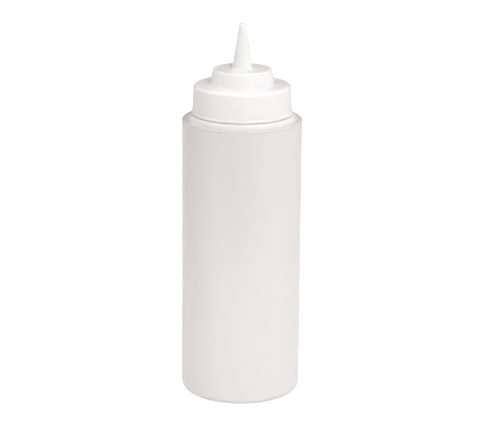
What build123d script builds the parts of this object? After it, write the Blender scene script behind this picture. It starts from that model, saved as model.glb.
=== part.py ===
from build123d import *
import os

# A squeeze bottle for sauce: a blow-moulded bottle with a wide screw neck, a one-piece moulded cap
# that carries the pouring nozzle, and a soft ring that seals the cap on the lip of the neck.
# Millimetres. +Z is up, and the origin is the centre of the circle that the bottle stands on.

# ---------------------------------------------------------------- driving dimensions

# Bottle body
body_diameter = 85.0
body_wall = 1.0
heel_rounding = 5.8
shoulder_height = 200.5          # flat of the shoulder above the table
shoulder_rounding = 1.5

# Base: a standing ring around a shallow dish, with the seam where the mould pinched the tube shut
standing_ring_width = 9.5        # from the side of the body to the edge of the dish
dish_slope_width = 5.0
dish_height = 3.0
dish_top_rounding = 3.0
dish_foot_rounding = 1.0
base_wall = 1.8
pinch_seam_length = 38.0
pinch_seam_width = 1.2
pinch_seam_depth = 0.5

# Collar bead, between the shoulder and the neck
shoulder_ledge = 4.2             # how far the body stands out beyond the bead
bead_width = 7.3                 # how far the bead stands out beyond the plain wall of the neck
bead_height = 3.2
bead_taper = 0.8                 # how much smaller the radius is at the top of the bead
bead_top_rounding = 1.8

# Neck
neck_wall = 1.8
neck_height = 21.1               # from the flat of the shoulder to the lip
neck_throat_rounding = 2.0       # where the chamber narrows into the neck
lip_rounding = 0.5

# Screw thread, on the neck and inside the cap
thread_lead = 6.0
thread_depth = 1.2
thread_foot_width = 2.6
thread_crest_width = 1.1
thread_embedding = 0.4           # how far each thread's foot is sunk into its wall
neck_thread_start = 7.0          # centre of the lowest full section above the shoulder
neck_thread_turns = 1.6
cap_thread_turns = 1.3
cap_thread_lag = 0.3             # turns along the neck's thread at which the cap's begins
thread_runout_turns = 0.12       # each end sinks into the wall over this part of a turn
thread_runout_sink = 0.2         # how deep in the wall the very end of a thread lies
runout_steps = 4
thread_radial_clearance = 0.35
thread_flank_clearance = 0.35

# Cap skirt
skirt_gap = 0.3                  # between the collar bead and the skirt
skirt_foot_wall = 2.7            # thickness of the skirt outside its bore, just above its lip
skirt_top_wall = 1.8             # the same at its top
skirt_top_rounding = 2.3
skirt_top_rise = 0.6             # the top is a shallow cone, this much higher at the foot of the tier
skirt_lip_width = 0.6            # the lip around the foot stands out this much
skirt_lip_height = 1.4
skirt_lip_slope = 1.0            # height over which the lip fades into the skirt
skirt_lip_rounding = 0.5
skirt_lead_in = 0.6              # chamfer that starts the cap on the neck
cap_roof = 1.8                   # thickness over the flat that presses on the seal

# Cap tier between the skirt and the nozzle
tier_foot_diameter = 45.7
tier_top_diameter = 41.2
tier_height = 11.3
tier_top_rise = 0.4              # this top is a shallow cone as well
tier_wall = 1.6
tier_foot_fillet = 2.4
tier_top_rounding = 1.2

# Nozzle
nozzle_height = 31.9             # above the rim of the tier
nozzle_foot_diameter = 14.4
nozzle_tip_diameter = 4.4
nozzle_wall = 1.5
nozzle_foot_fillet = 1.5
nozzle_tip_rounding = 0.5
orifice_diameter = 2.0

# Sealing ring, cut from sheet and held in the top of the cap by a snap bead
seal_thickness = 1.2
seal_width = 3.2
seal_rim_clearance = 0.35
snap_bead_depth = 1.0
snap_bead_height = 0.9
snap_bead_gap = 0.3

# ---------------------------------------------------------------- sizes that follow from them

body_radius = body_diameter / 2
dish_radius = body_radius - standing_ring_width
bead_radius = body_radius - shoulder_ledge
bead_top = shoulder_height + bead_height
neck_radius = bead_radius - bead_width
mouth_radius = neck_radius - neck_wall
lip_level = shoulder_height + neck_height

thread_tip_radius = neck_radius + thread_depth
cap_bore_radius = thread_tip_radius + thread_radial_clearance

skirt_foot = bead_top + skirt_gap
skirt_foot_radius = cap_bore_radius + skirt_foot_wall
skirt_lip_radius = skirt_foot_radius + skirt_lip_width
skirt_lip_top = skirt_foot + skirt_lip_height
skirt_top_radius = cap_bore_radius + skirt_top_wall
land_level = lip_level + seal_thickness
skirt_top = land_level + cap_roof
tier_foot_radius = tier_foot_diameter / 2
tier_top_radius = tier_top_diameter / 2
tier_top = skirt_top + tier_height
tier_ceiling = tier_top - tier_wall
nozzle_top = tier_top + nozzle_height

# At rest the cap's thread bears up against the underside of the neck's thread. Both slope alike, so
# the step down from one centre line to the other is the same at every radius where they overlap.
thread_overlap = 2 * thread_depth - (cap_bore_radius - neck_radius)
thread_slope = (thread_foot_width - thread_crest_width) / 2 / (thread_depth + thread_embedding)
thread_step_down = thread_crest_width + thread_slope * thread_overlap + thread_flank_clearance
neck_thread_level = shoulder_height + neck_thread_start
cap_thread_level = neck_thread_level - thread_step_down + thread_lead * cap_thread_lag


# ---------------------------------------------------------------- building blocks


def turned(*corners):
    """Revolve a closed outline about Z. Each corner is (radius, height) or (radius, height, rounding)."""
    outline = make_face(Polyline(*[corner[:2] for corner in corners], close=True))
    for corner in corners:
        if len(corner) == 3:
            nearest = outline.vertices().sort_by_distance(Vector(corner[0], corner[1], 0))[0]
            outline = fillet(nearest, corner[2])
    return revolve(Plane.XZ * outline, Axis.Z)


def thread_section(wall_radius, side, depth):
    """The thread's trapezoid in the XZ plane, standing out of a wall. A side of -1 turns it inwards."""
    foot = wall_radius - side * thread_embedding
    crest = wall_radius + side * depth
    foot_edge = thread_foot_width / 2
    crest_edge = thread_crest_width / 2
    corners = [(foot, -foot_edge), (crest, -crest_edge), (crest, crest_edge), (foot, foot_edge)]
    return Plane.XZ * make_face(Polyline(*corners, close=True))


def thread_ridge(wall_radius, side, middle_height, turns):
    """A right-hand ridge on a wall: full sections through turns, then both ends sink into the wall."""
    path = Helix(pitch=thread_lead, height=thread_lead * turns, radius=wall_radius)
    full_run = sweep(thread_section(wall_radius, side, thread_depth), path=path, is_frenet=True)

    def runout(start_turn, direction):
        sections = []
        for step in range(runout_steps + 1):
            share = step / runout_steps
            turn = start_turn + direction * share * thread_runout_turns
            depth = thread_depth * (1 - share) - thread_runout_sink * share
            place = Pos(0, 0, thread_lead * turn) * Rot(0, 0, 360 * turn)
            sections.append(place * thread_section(wall_radius, side, depth))
        return loft(sections)

    ridge = full_run + runout(0, -1) + runout(turns, 1)
    return Pos(0, 0, middle_height) * ridge


# ---------------------------------------------------------------- the pieces


def make_bottle():
    dish_flat_radius = dish_radius - dish_slope_width
    outside = turned(
        (0, dish_height),
        (dish_flat_radius, dish_height, dish_top_rounding),
        (dish_radius, 0, dish_foot_rounding),
        (body_radius, 0, heel_rounding),
        (body_radius, shoulder_height, shoulder_rounding),
        (bead_radius, shoulder_height),
        (bead_radius - bead_taper, bead_top, bead_top_rounding),
        (neck_radius, bead_top),
        (neck_radius, lip_level, lip_rounding),
        (0, lip_level),
    )
    chamber_radius = body_radius - body_wall
    chamber_top = shoulder_height - body_wall
    inside = turned(
        (0, dish_height + base_wall),
        (dish_flat_radius, dish_height + base_wall, dish_top_rounding),
        (dish_radius, base_wall, dish_foot_rounding + base_wall / 2),
        (chamber_radius, base_wall, heel_rounding - body_wall),
        (chamber_radius, chamber_top, shoulder_rounding - body_wall),
        (mouth_radius, chamber_top, neck_throat_rounding),
        (mouth_radius, lip_level),
        (0, lip_level),
    )
    seam = SlotOverall(pinch_seam_length, pinch_seam_width)
    seam_root = Pos(0, 0, dish_height + base_wall / 2)
    pinch_seam = extrude(seam_root * seam, -base_wall / 2 - pinch_seam_depth)
    thread = thread_ridge(neck_radius, 1, neck_thread_level, neck_thread_turns)
    return outside - inside + pinch_seam + thread


def make_nozzle_cap():
    outside = turned(
        (0, skirt_foot),
        (skirt_lip_radius, skirt_foot, skirt_lip_rounding),
        (skirt_lip_radius, skirt_lip_top, skirt_lip_rounding),
        (skirt_foot_radius, skirt_lip_top + skirt_lip_slope, skirt_lip_rounding),
        (skirt_top_radius, skirt_top, skirt_top_rounding),
        (tier_foot_radius, skirt_top + skirt_top_rise, tier_foot_fillet),
        (tier_top_radius, tier_top, tier_top_rounding),
        (nozzle_foot_diameter / 2, tier_top + tier_top_rise, nozzle_foot_fillet),
        (nozzle_tip_diameter / 2, nozzle_top, nozzle_tip_rounding),
        (0, nozzle_top),
    )
    snap_bead_top = lip_level - snap_bead_gap
    inside = turned(
        (0, skirt_foot),
        (cap_bore_radius + skirt_lead_in, skirt_foot),
        (cap_bore_radius, skirt_foot + skirt_lead_in),
        (cap_bore_radius, snap_bead_top - snap_bead_height),
        (cap_bore_radius - snap_bead_depth, snap_bead_top - snap_bead_height / 2),
        (cap_bore_radius, snap_bead_top),
        (cap_bore_radius, land_level),
        (tier_foot_radius - tier_wall, land_level),
        (tier_top_radius - tier_wall, tier_ceiling),
        (nozzle_foot_diameter / 2 - nozzle_wall, tier_ceiling),
        (orifice_diameter / 2, nozzle_top),
        (0, nozzle_top),
    )
    thread = thread_ridge(cap_bore_radius, -1, cap_thread_level, cap_thread_turns)
    thread = Rot(0, 0, 360 * cap_thread_lag) * thread
    return outside - inside + thread


def make_sealing_ring():
    outer_radius = cap_bore_radius - seal_rim_clearance
    inner_radius = outer_radius - seal_width
    return turned(
        (inner_radius, lip_level),
        (outer_radius, lip_level),
        (outer_radius, land_level),
        (inner_radius, land_level),
    )


PARTS = {
    "bottle": make_bottle(),
    "nozzle_cap": make_nozzle_cap(),
    "sealing_ring": make_sealing_ring(),
}

os.makedirs("parts", exist_ok=True)
for name, solid in PARTS.items():
    solid.label = name
    export_step(solid, f"parts/{name}.step")
    print(name, "volume", round(solid.volume / 1000, 2), "cm3")
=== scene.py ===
import math

import bpy
from mathutils import Matrix, Vector

# A squeeze bottle for sauce with a stepped nozzle cap, on a white table under soft studio light.
# Everything is in metres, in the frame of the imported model: +Z up, the bottle standing on the origin.

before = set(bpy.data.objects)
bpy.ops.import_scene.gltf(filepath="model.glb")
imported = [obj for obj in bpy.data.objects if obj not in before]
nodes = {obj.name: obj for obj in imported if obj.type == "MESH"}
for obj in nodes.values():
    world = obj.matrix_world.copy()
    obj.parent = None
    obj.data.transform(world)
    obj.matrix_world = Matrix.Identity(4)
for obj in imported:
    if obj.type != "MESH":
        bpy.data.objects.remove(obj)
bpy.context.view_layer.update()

# ---------------------------------------------------------------- camera

PHOTO_WIDTH_PX = 480
FOCAL_LENGTH_PX = 2300.0
SENSOR_WIDTH_MM = 36.0
CAMERA_DISTANCE = 1.5831
CAMERA_HEIGHT = 0.5697
CAMERA_OFFSET = -0.0010             # sideways, so that the bottle stands just right of the middle
CAMERA_PITCH = math.radians(15.569)
CAMERA_ROLL = math.radians(0.40)    # anticlockwise seen from behind the camera: the bottle leans right
CLIP_START = 0.05
CLIP_END = 50.0


def make_camera():
    data = bpy.data.cameras.new("camera")
    data.sensor_width = SENSOR_WIDTH_MM
    data.lens = FOCAL_LENGTH_PX / PHOTO_WIDTH_PX * SENSOR_WIDTH_MM
    data.clip_start = CLIP_START
    data.clip_end = CLIP_END
    camera = bpy.data.objects.new("camera", data)
    bpy.context.scene.collection.objects.link(camera)
    camera.location = (CAMERA_OFFSET, -CAMERA_DISTANCE, CAMERA_HEIGHT)
    aim = Matrix.Rotation(math.pi / 2 - CAMERA_PITCH, 4, "X")
    camera.rotation_euler = (aim @ Matrix.Rotation(CAMERA_ROLL, 4, "Z")).to_euler()
    bpy.context.scene.camera = camera


# ---------------------------------------------------------------- node trees

GRAIN_DEPTH = 0.0002                # of the fine bumps in the surface of a moulded piece
SCATTER_DEPTH = 0.002               # how far light spreads inside the plastics


class Nodes:
    """The node tree of a material or world, with short names for adding and joining nodes."""

    def __init__(self, owner, output="ShaderNodeOutputMaterial"):
        owner.use_nodes = True
        self.tree = owner.node_tree
        self.tree.nodes.clear()
        self.output = self.add(output)

    def add(self, kind, **settings):
        node = self.tree.nodes.new(kind)
        for name, value in settings.items():
            setattr(node, name, value)
        return node

    def join(self, source, target):
        self.tree.links.new(source, target)

    def position(self, scale=(1, 1, 1)):
        """The point on the piece, in its own frame, multiplied by scale."""
        place = self.add("ShaderNodeTexCoord")
        mapping = self.add("ShaderNodeMapping")
        mapping.inputs["Scale"].default_value = scale
        self.join(place.outputs["Object"], mapping.inputs["Vector"])
        return mapping.outputs["Vector"]

    def height(self):
        """Height above the foot of the bottle, with the cap on."""
        split = self.add("ShaderNodeSeparateXYZ")
        self.join(self.position(), split.inputs["Vector"])
        return split.outputs["Z"]

    def radius(self):
        """Distance from the bottle's axis."""
        length = self.add("ShaderNodeVectorMath", operation="LENGTH")
        self.join(self.position((1, 1, 0)), length.inputs["Vector"])
        return length.outputs["Value"]

    def noise(self, vector, scale, detail):
        node = self.add("ShaderNodeTexNoise")
        node.inputs["Scale"].default_value = scale
        node.inputs["Detail"].default_value = detail
        self.join(vector, node.inputs["Vector"])
        return node.outputs["Fac"]

    def step(self, value, limits):
        """A soft step of value, from 0 at the first limit to 1 at the second."""
        node = self.add("ShaderNodeMapRange", interpolation_type="SMOOTHSTEP")
        node.inputs["From Min"].default_value, node.inputs["From Max"].default_value = limits
        self.join(value, node.inputs["Value"])
        return node.outputs["Result"]

    def spread(self, factor, limits):
        """Map 0..1 to the first limit..the second."""
        node = self.add("ShaderNodeMapRange")
        node.inputs["To Min"].default_value, node.inputs["To Max"].default_value = limits
        self.join(factor, node.inputs["Value"])
        return node.outputs["Result"]

    def combine(self, operation, first, second):
        node = self.add("ShaderNodeMath", operation=operation)
        self.join(first, node.inputs[0])
        self.join(second, node.inputs[1])
        return node.outputs["Value"]

    def blend(self, factor, first, second):
        """From first to second, each of them a colour or a socket."""
        node = self.add("ShaderNodeMix", data_type="RGBA")
        for name, side in (("A", first), ("B", second)):
            if isinstance(side, tuple):
                node.inputs[name].default_value = (*side, 1)
            else:
                self.join(side, node.inputs[name])
        self.join(factor, node.inputs["Factor"])
        return node.outputs["Result"]

    def light(self, kind, colour, strength=1.0):
        """An Emission or Background shader of one colour."""
        node = self.add(kind)
        node.inputs["Color"].default_value = (*colour, 1)
        node.inputs["Strength"].default_value = strength
        return node

    def matt(self, tone):
        """A diffuse grey."""
        node = self.add("ShaderNodeBsdfDiffuse")
        node.inputs["Color"].default_value = (tone, tone, tone, 1)
        return node.outputs["BSDF"]

    def satin(self, colour, grain_scale, roughness, bump, ior):
        """The shader of a moulded piece. Its fine grain shows in its roughness and as tiny bumps."""
        shader = self.add("ShaderNodeBsdfPrincipled")
        self.join(colour, shader.inputs["Base Color"])
        grain = self.noise(self.position(), grain_scale, detail=2.0)
        self.join(self.spread(grain, roughness), shader.inputs["Roughness"])
        bumps = self.add("ShaderNodeBump")
        bumps.inputs["Strength"].default_value = bump
        bumps.inputs["Distance"].default_value = GRAIN_DEPTH
        self.join(grain, bumps.inputs["Height"])
        self.join(bumps.outputs["Normal"], shader.inputs["Normal"])
        shader.inputs["IOR"].default_value = ior
        self.join(shader.outputs["BSDF"], self.output.inputs["Surface"])
        return shader

    def sees_background(self):
        """1 for rays that show the background: from the camera, reflected, or through plastic."""
        path = self.add("ShaderNodeLightPath").outputs
        reflected = self.combine("MAXIMUM", path["Is Camera Ray"], path["Is Glossy Ray"])
        return self.combine("MAXIMUM", reflected, path["Is Transmission Ray"])


# ---------------------------------------------------------------- the object's plastics

# How fine the clouds in a plastic and the grain of its surface are, as noise scales per metre
BOTTLE_CLOUDS = 22.0
CAP_CLOUDS = 45.0
SEAL_CLOUDS = 120.0
BOTTLE_GRAIN = 900.0
CAP_GRAIN = 1100.0
SEAL_GRAIN = 1500.0

# Where the plastics change, and where painted light and shade lie. Each pair is where a change starts
# and where it is complete.
# The wall grows clearer towards the shoulder: partly its thinner wall, partly painted shade that
# darkens the upper body.
WALL_THINS_AND_SHADES = (0.0, 0.2)             # heights, from the heel to the shoulder
# Painted light: the lowest 7 mm of the bottle lighter, against the shade under its heel.
HEEL_LIGHT_HEIGHTS = (0.007, 0.0)
# Painted shade: the shoulder's flat and its corner darker, against the light that falls on them from
# above.
SHOULDER_SHADE_HEIGHTS = (0.1978, 0.1998)
NECK_HEIGHT = (0.195, 0.2)
NECK_RADIUS = (0.0404, 0.0390)      # from the middle of the shoulder's flat inwards
# Painted shade: the cap's skirt darker towards its foot.
SKIRT_SHADE_HEIGHTS = (0.2215, 0.2045)            # down the side of the cap
# Painted light: the lowest millimetre of the skirt lighter, as the light its foot edge catches.
SKIRT_RIM_LIGHT_HEIGHTS = (0.2054, 0.2043)

# The bottle's colours, with painted light and shade at its heel, shoulder and neck, and how much light
# passes through it
THICK_WALL = ((0.896, 0.878, 0.880), (0.911, 0.893, 0.895))     # faint clouds of the two
THIN_WALL = (0.905, 0.89, 0.892)
SHOULDER_PAINTED_SHADE = (0.80, 0.787, 0.785)
HEEL_PAINTED_LIGHT = (0.99, 0.975, 0.97)
# Partly the thick plastic of the neck, partly painted light on the bead's band and on the shaded bead
# top under the cap.
NECK_WHITE_AND_PAINTED_LIGHT = (0.98, 0.966, 0.96)
THICK_CLEARNESS = (0.04, 0.04, 0.04)
THIN_CLEARNESS = (0.12, 0.12, 0.12)
NECK_CLEARNESS = (0.05, 0.05, 0.05)
WALL_TO_NECK_SCATTER = (0.4, 1.0)
CLOUD_STRETCH = (1, 1, 0.35)        # the blown wall is drawn out upwards, and its clouds with it

# The cap's colours, with painted shade down its skirt and painted light on its rim
CAP_WHITE = ((0.935, 0.915, 0.903), (0.955, 0.935, 0.923))
SKIRT_FOOT_PAINTED_SHADE = (0.90, 0.879, 0.868)
SKIRT_RIM_PAINTED_LIGHT = (1.0, 0.985, 0.975)

SEAL_GREY = ((0.74, 0.74, 0.72), (0.79, 0.79, 0.77))


def bottle_plastic():
    """Natural polyethylene, cloudy and satin. The wall thins upwards, and the moulded neck is thick.
    Painted light and shade lie on its heel, shoulder, neck and upper wall.
    """
    material = bpy.data.materials.new("bottle_plastic")
    n = Nodes(material)
    thinning_and_shade = n.step(n.height(), WALL_THINS_AND_SHADES)
    neck = n.combine("MULTIPLY", n.step(n.height(), NECK_HEIGHT), n.step(n.radius(), NECK_RADIUS))
    clouds = n.noise(n.position(CLOUD_STRETCH), BOTTLE_CLOUDS, detail=3.0)
    colour = n.blend(thinning_and_shade, n.blend(clouds, *THICK_WALL), THIN_WALL)
    # Painted shade on the shoulder's flat and corner.
    colour = n.blend(n.step(n.height(), SHOULDER_SHADE_HEIGHTS), colour, SHOULDER_PAINTED_SHADE)
    # Painted light on the heel, against the shade under it.
    colour = n.blend(n.step(n.height(), HEEL_LIGHT_HEIGHTS), colour, HEEL_PAINTED_LIGHT)
    # The neck whiter: partly its thick plastic, partly painted light on the bead and in the shade under
    # the cap's skirt.
    colour = n.blend(neck, colour, NECK_WHITE_AND_PAINTED_LIGHT)
    shader = n.satin(colour, BOTTLE_GRAIN, roughness=(0.18, 0.26), bump=0.12, ior=1.51)
    # Clearer towards the shoulder: partly the thinner wall, partly painted shade on the upper body.
    clearness = n.blend(neck, n.blend(thinning_and_shade, THICK_CLEARNESS, THIN_CLEARNESS), NECK_CLEARNESS)
    n.join(clearness, shader.inputs["Transmission Weight"])
    n.join(n.spread(neck, WALL_TO_NECK_SCATTER), shader.inputs["Subsurface Weight"])
    shader.inputs["Subsurface Radius"].default_value = (1.0, 1.0, 1.0)
    shader.inputs["Subsurface Scale"].default_value = SCATTER_DEPTH
    return material


def cap_plastic():
    """White moulded polyethylene, satin, with light that softens in its edges. Its skirt has painted
    shade towards the foot and painted light on its rim.
    """
    material = bpy.data.materials.new("cap_plastic")
    n = Nodes(material)
    clouds = n.noise(n.position(), CAP_CLOUDS, detail=3.0)
    # Painted shade, darker down the skirt.
    colour = n.blend(n.step(n.height(), SKIRT_SHADE_HEIGHTS), n.blend(clouds, *CAP_WHITE), SKIRT_FOOT_PAINTED_SHADE)
    # Painted light on the skirt's foot edge.
    colour = n.blend(n.step(n.height(), SKIRT_RIM_LIGHT_HEIGHTS), colour, SKIRT_RIM_PAINTED_LIGHT)
    shader = n.satin(colour, CAP_GRAIN, roughness=(0.20, 0.30), bump=0.1, ior=1.5)
    shader.inputs["Subsurface Weight"].default_value = 1.0
    shader.inputs["Subsurface Radius"].default_value = (1.0, 0.95, 0.9)
    shader.inputs["Subsurface Scale"].default_value = SCATTER_DEPTH
    return material


def seal_rubber():
    """Milky silicone."""
    material = bpy.data.materials.new("seal_rubber")
    n = Nodes(material)
    colour = n.blend(n.noise(n.position(), SEAL_CLOUDS, detail=2.0), *SEAL_GREY)
    n.satin(colour, SEAL_GRAIN, roughness=(0.5, 0.65), bump=0.15, ior=1.41)
    return material


def dress(node, material):
    """Give a CAD node its material."""
    mesh = nodes[node].data
    mesh.materials.clear()
    mesh.materials.append(material)


# ---------------------------------------------------------------- table, world and black boards

WHITE = (1.0, 1.0, 1.0)
TABLE_HALF_SIZE = 6.0
TABLE_LEVEL = -0.0001               # a hair below the standing ring, so that the faces don't fight
TABLE_TONE = 0.8
TABLE_GLOW = (0.15, 0.68)           # added for what reflections see, and for what the camera sees
ROOM_LIGHT = (1.0, 0.935, 0.90)
ROOM_STRENGTH = 0.5
BACKDROP_STRENGTH = 1.0
BOARD_TONE = 0.03
BACK_BOARD_Y = 1.2
BACK_BOARD_HALF_WIDTH = 0.9
BACK_BOARD_HEIGHTS = (0.12, 1.5)
FRONT_BOARD_LEVEL = 0.002           # it lies on the table, and widens towards the camera
FRONT_BOARD_NEAR_BOTTLE = (0.08, -0.42)     # half width and y
FRONT_BOARD_NEAR_CAMERA = (0.9, -0.85)


def make_sheet(name, corners, material):
    """A flat four-cornered thing of the studio."""
    mesh = bpy.data.meshes.new(name)
    mesh.from_pydata(corners, [], [(0, 1, 2, 3)])
    mesh.materials.append(material)
    sheet = bpy.data.objects.new(name, mesh)
    bpy.context.scene.collection.objects.link(sheet)
    return sheet


def make_floor():
    """A white table. The camera sees it as plain white, and it keeps the bottle's shadow."""
    material = bpy.data.materials.new("white_table")
    n = Nodes(material)
    lit = n.matt(TABLE_TONE)
    glow = n.light("ShaderNodeEmission", WHITE)
    camera_ray = n.add("ShaderNodeLightPath").outputs["Is Camera Ray"]
    n.join(n.spread(camera_ray, TABLE_GLOW), glow.inputs["Strength"])
    seen = n.add("ShaderNodeAddShader")
    n.join(lit, seen.inputs[0])
    n.join(glow.outputs["Emission"], seen.inputs[1])
    mix = n.add("ShaderNodeMixShader")
    n.join(n.sees_background(), mix.inputs["Fac"])
    n.join(lit, mix.inputs[1])
    n.join(seen.outputs["Shader"], mix.inputs[2])
    n.join(mix.outputs["Shader"], n.output.inputs["Surface"])
    h, z = TABLE_HALF_SIZE, TABLE_LEVEL
    floor = make_sheet("table_top", [(-h, -h, z), (h, -h, z), (h, h, z), (-h, h, z)], material)


def make_world():
    """Warm room light, which the camera, reflections and clear plastic see as a white backdrop."""
    world = bpy.data.worlds.new("studio")
    bpy.context.scene.world = world
    n = Nodes(world, "ShaderNodeOutputWorld")
    light = n.light("ShaderNodeBackground", ROOM_LIGHT, ROOM_STRENGTH)
    backdrop = n.light("ShaderNodeBackground", WHITE, BACKDROP_STRENGTH)
    mix = n.add("ShaderNodeMixShader")
    n.join(n.sees_background(), mix.inputs["Fac"])
    n.join(light.outputs["Background"], mix.inputs[1])
    n.join(backdrop.outputs["Background"], mix.inputs[2])
    n.join(mix.outputs["Shader"], n.output.inputs["Surface"])


def black_flag(name, corners):
    """A black board out of the picture. Only reflections show it, and are darker where they do."""
    material = bpy.data.materials.new(name)
    n = Nodes(material)
    n.join(n.matt(BOARD_TONE), n.output.inputs["Surface"])
    flag = make_sheet(name, corners, material)
    flag.visible_camera = False
    flag.visible_diffuse = False
    flag.visible_transmission = False
    flag.visible_shadow = False


def make_flags():
    half, y = BACK_BOARD_HALF_WIDTH, BACK_BOARD_Y
    low, high = BACK_BOARD_HEIGHTS
    black_flag("flag_behind", [(-half, y, low), (half, y, low), (half, y, high), (-half, y, high)])
    z = FRONT_BOARD_LEVEL
    narrow, far = FRONT_BOARD_NEAR_BOTTLE
    wide, near = FRONT_BOARD_NEAR_CAMERA
    black_flag("flag_front", [(-narrow, far, z), (narrow, far, z), (wide, near, z), (-wide, near, z)])


# ---------------------------------------------------------------- lamps

WARM = (1.0, 0.91, 0.87)
COOL = (0.94, 0.985, 1.0)
STUDIO_DISTANCE = 1.3
TALL_BOX = (0.6, 0.8)
WIDE_BOX = (0.6, 0.4)
LEFT_STRIP = (0.2, 0.06)
FRONT_STRIP = (0.34, 0.03)
MIDDLE_OF_BOTTLE = 0.13


def softbox(name, azimuth, elevation, brightness, colour=WHITE, size=TALL_BOX,
            distance=STUDIO_DISTANCE, aim_height=MIDDLE_OF_BOTTLE):
    """A rectangular lamp that faces the bottle's axis. Azimuth 0 is in front, 90 on the right."""
    width, height = size
    data = bpy.data.lights.new(name, "AREA")
    data.shape = "RECTANGLE"
    data.size = width
    data.size_y = height
    data.energy = brightness * math.pi * width * height
    data.color = colour
    lamp = bpy.data.objects.new(name, data)
    bpy.context.scene.collection.objects.link(lamp)
    around = math.radians(azimuth)
    up = math.radians(elevation)
    away = Vector((math.cos(up) * math.sin(around), -math.cos(up) * math.cos(around), math.sin(up)))
    lamp.location = Vector((0, 0, aim_height)) + distance * away
    lamp.rotation_euler = (-away).to_track_quat("-Z", "Y").to_euler()
    lamp.visible_camera = False
    return lamp


def make_lamps():
    softbox("key", azimuth=30, elevation=45, brightness=4.35, colour=COOL)
    softbox("front", azimuth=35, elevation=10, brightness=1.6, colour=WARM, size=WIDE_BOX)
    softbox("left", azimuth=-75, elevation=42, brightness=1.8)
    softbox("right", azimuth=100, elevation=42, brightness=1.2)
    softbox("back", azimuth=180, elevation=55, brightness=2.4, colour=WARM)
    # Two strips near the heel, that light its underside and don't mirror in the wall
    low_left = softbox("low_left", azimuth=-60, elevation=5, brightness=0.7, size=LEFT_STRIP,
                       distance=0.28, aim_height=0.02)
    low_front = softbox("low_front", azimuth=0, elevation=2, brightness=1.4, size=FRONT_STRIP,
                        distance=0.26, aim_height=0.005)
    low_left.visible_glossy = False
    low_front.visible_glossy = False


make_camera()
dress("bottle", bottle_plastic())
dress("nozzle_cap", cap_plastic())
dress("sealing_ring", seal_rubber())
make_floor()
make_world()
make_lamps()
make_flags()
bpy.context.scene.view_settings.view_transform = "Standard"
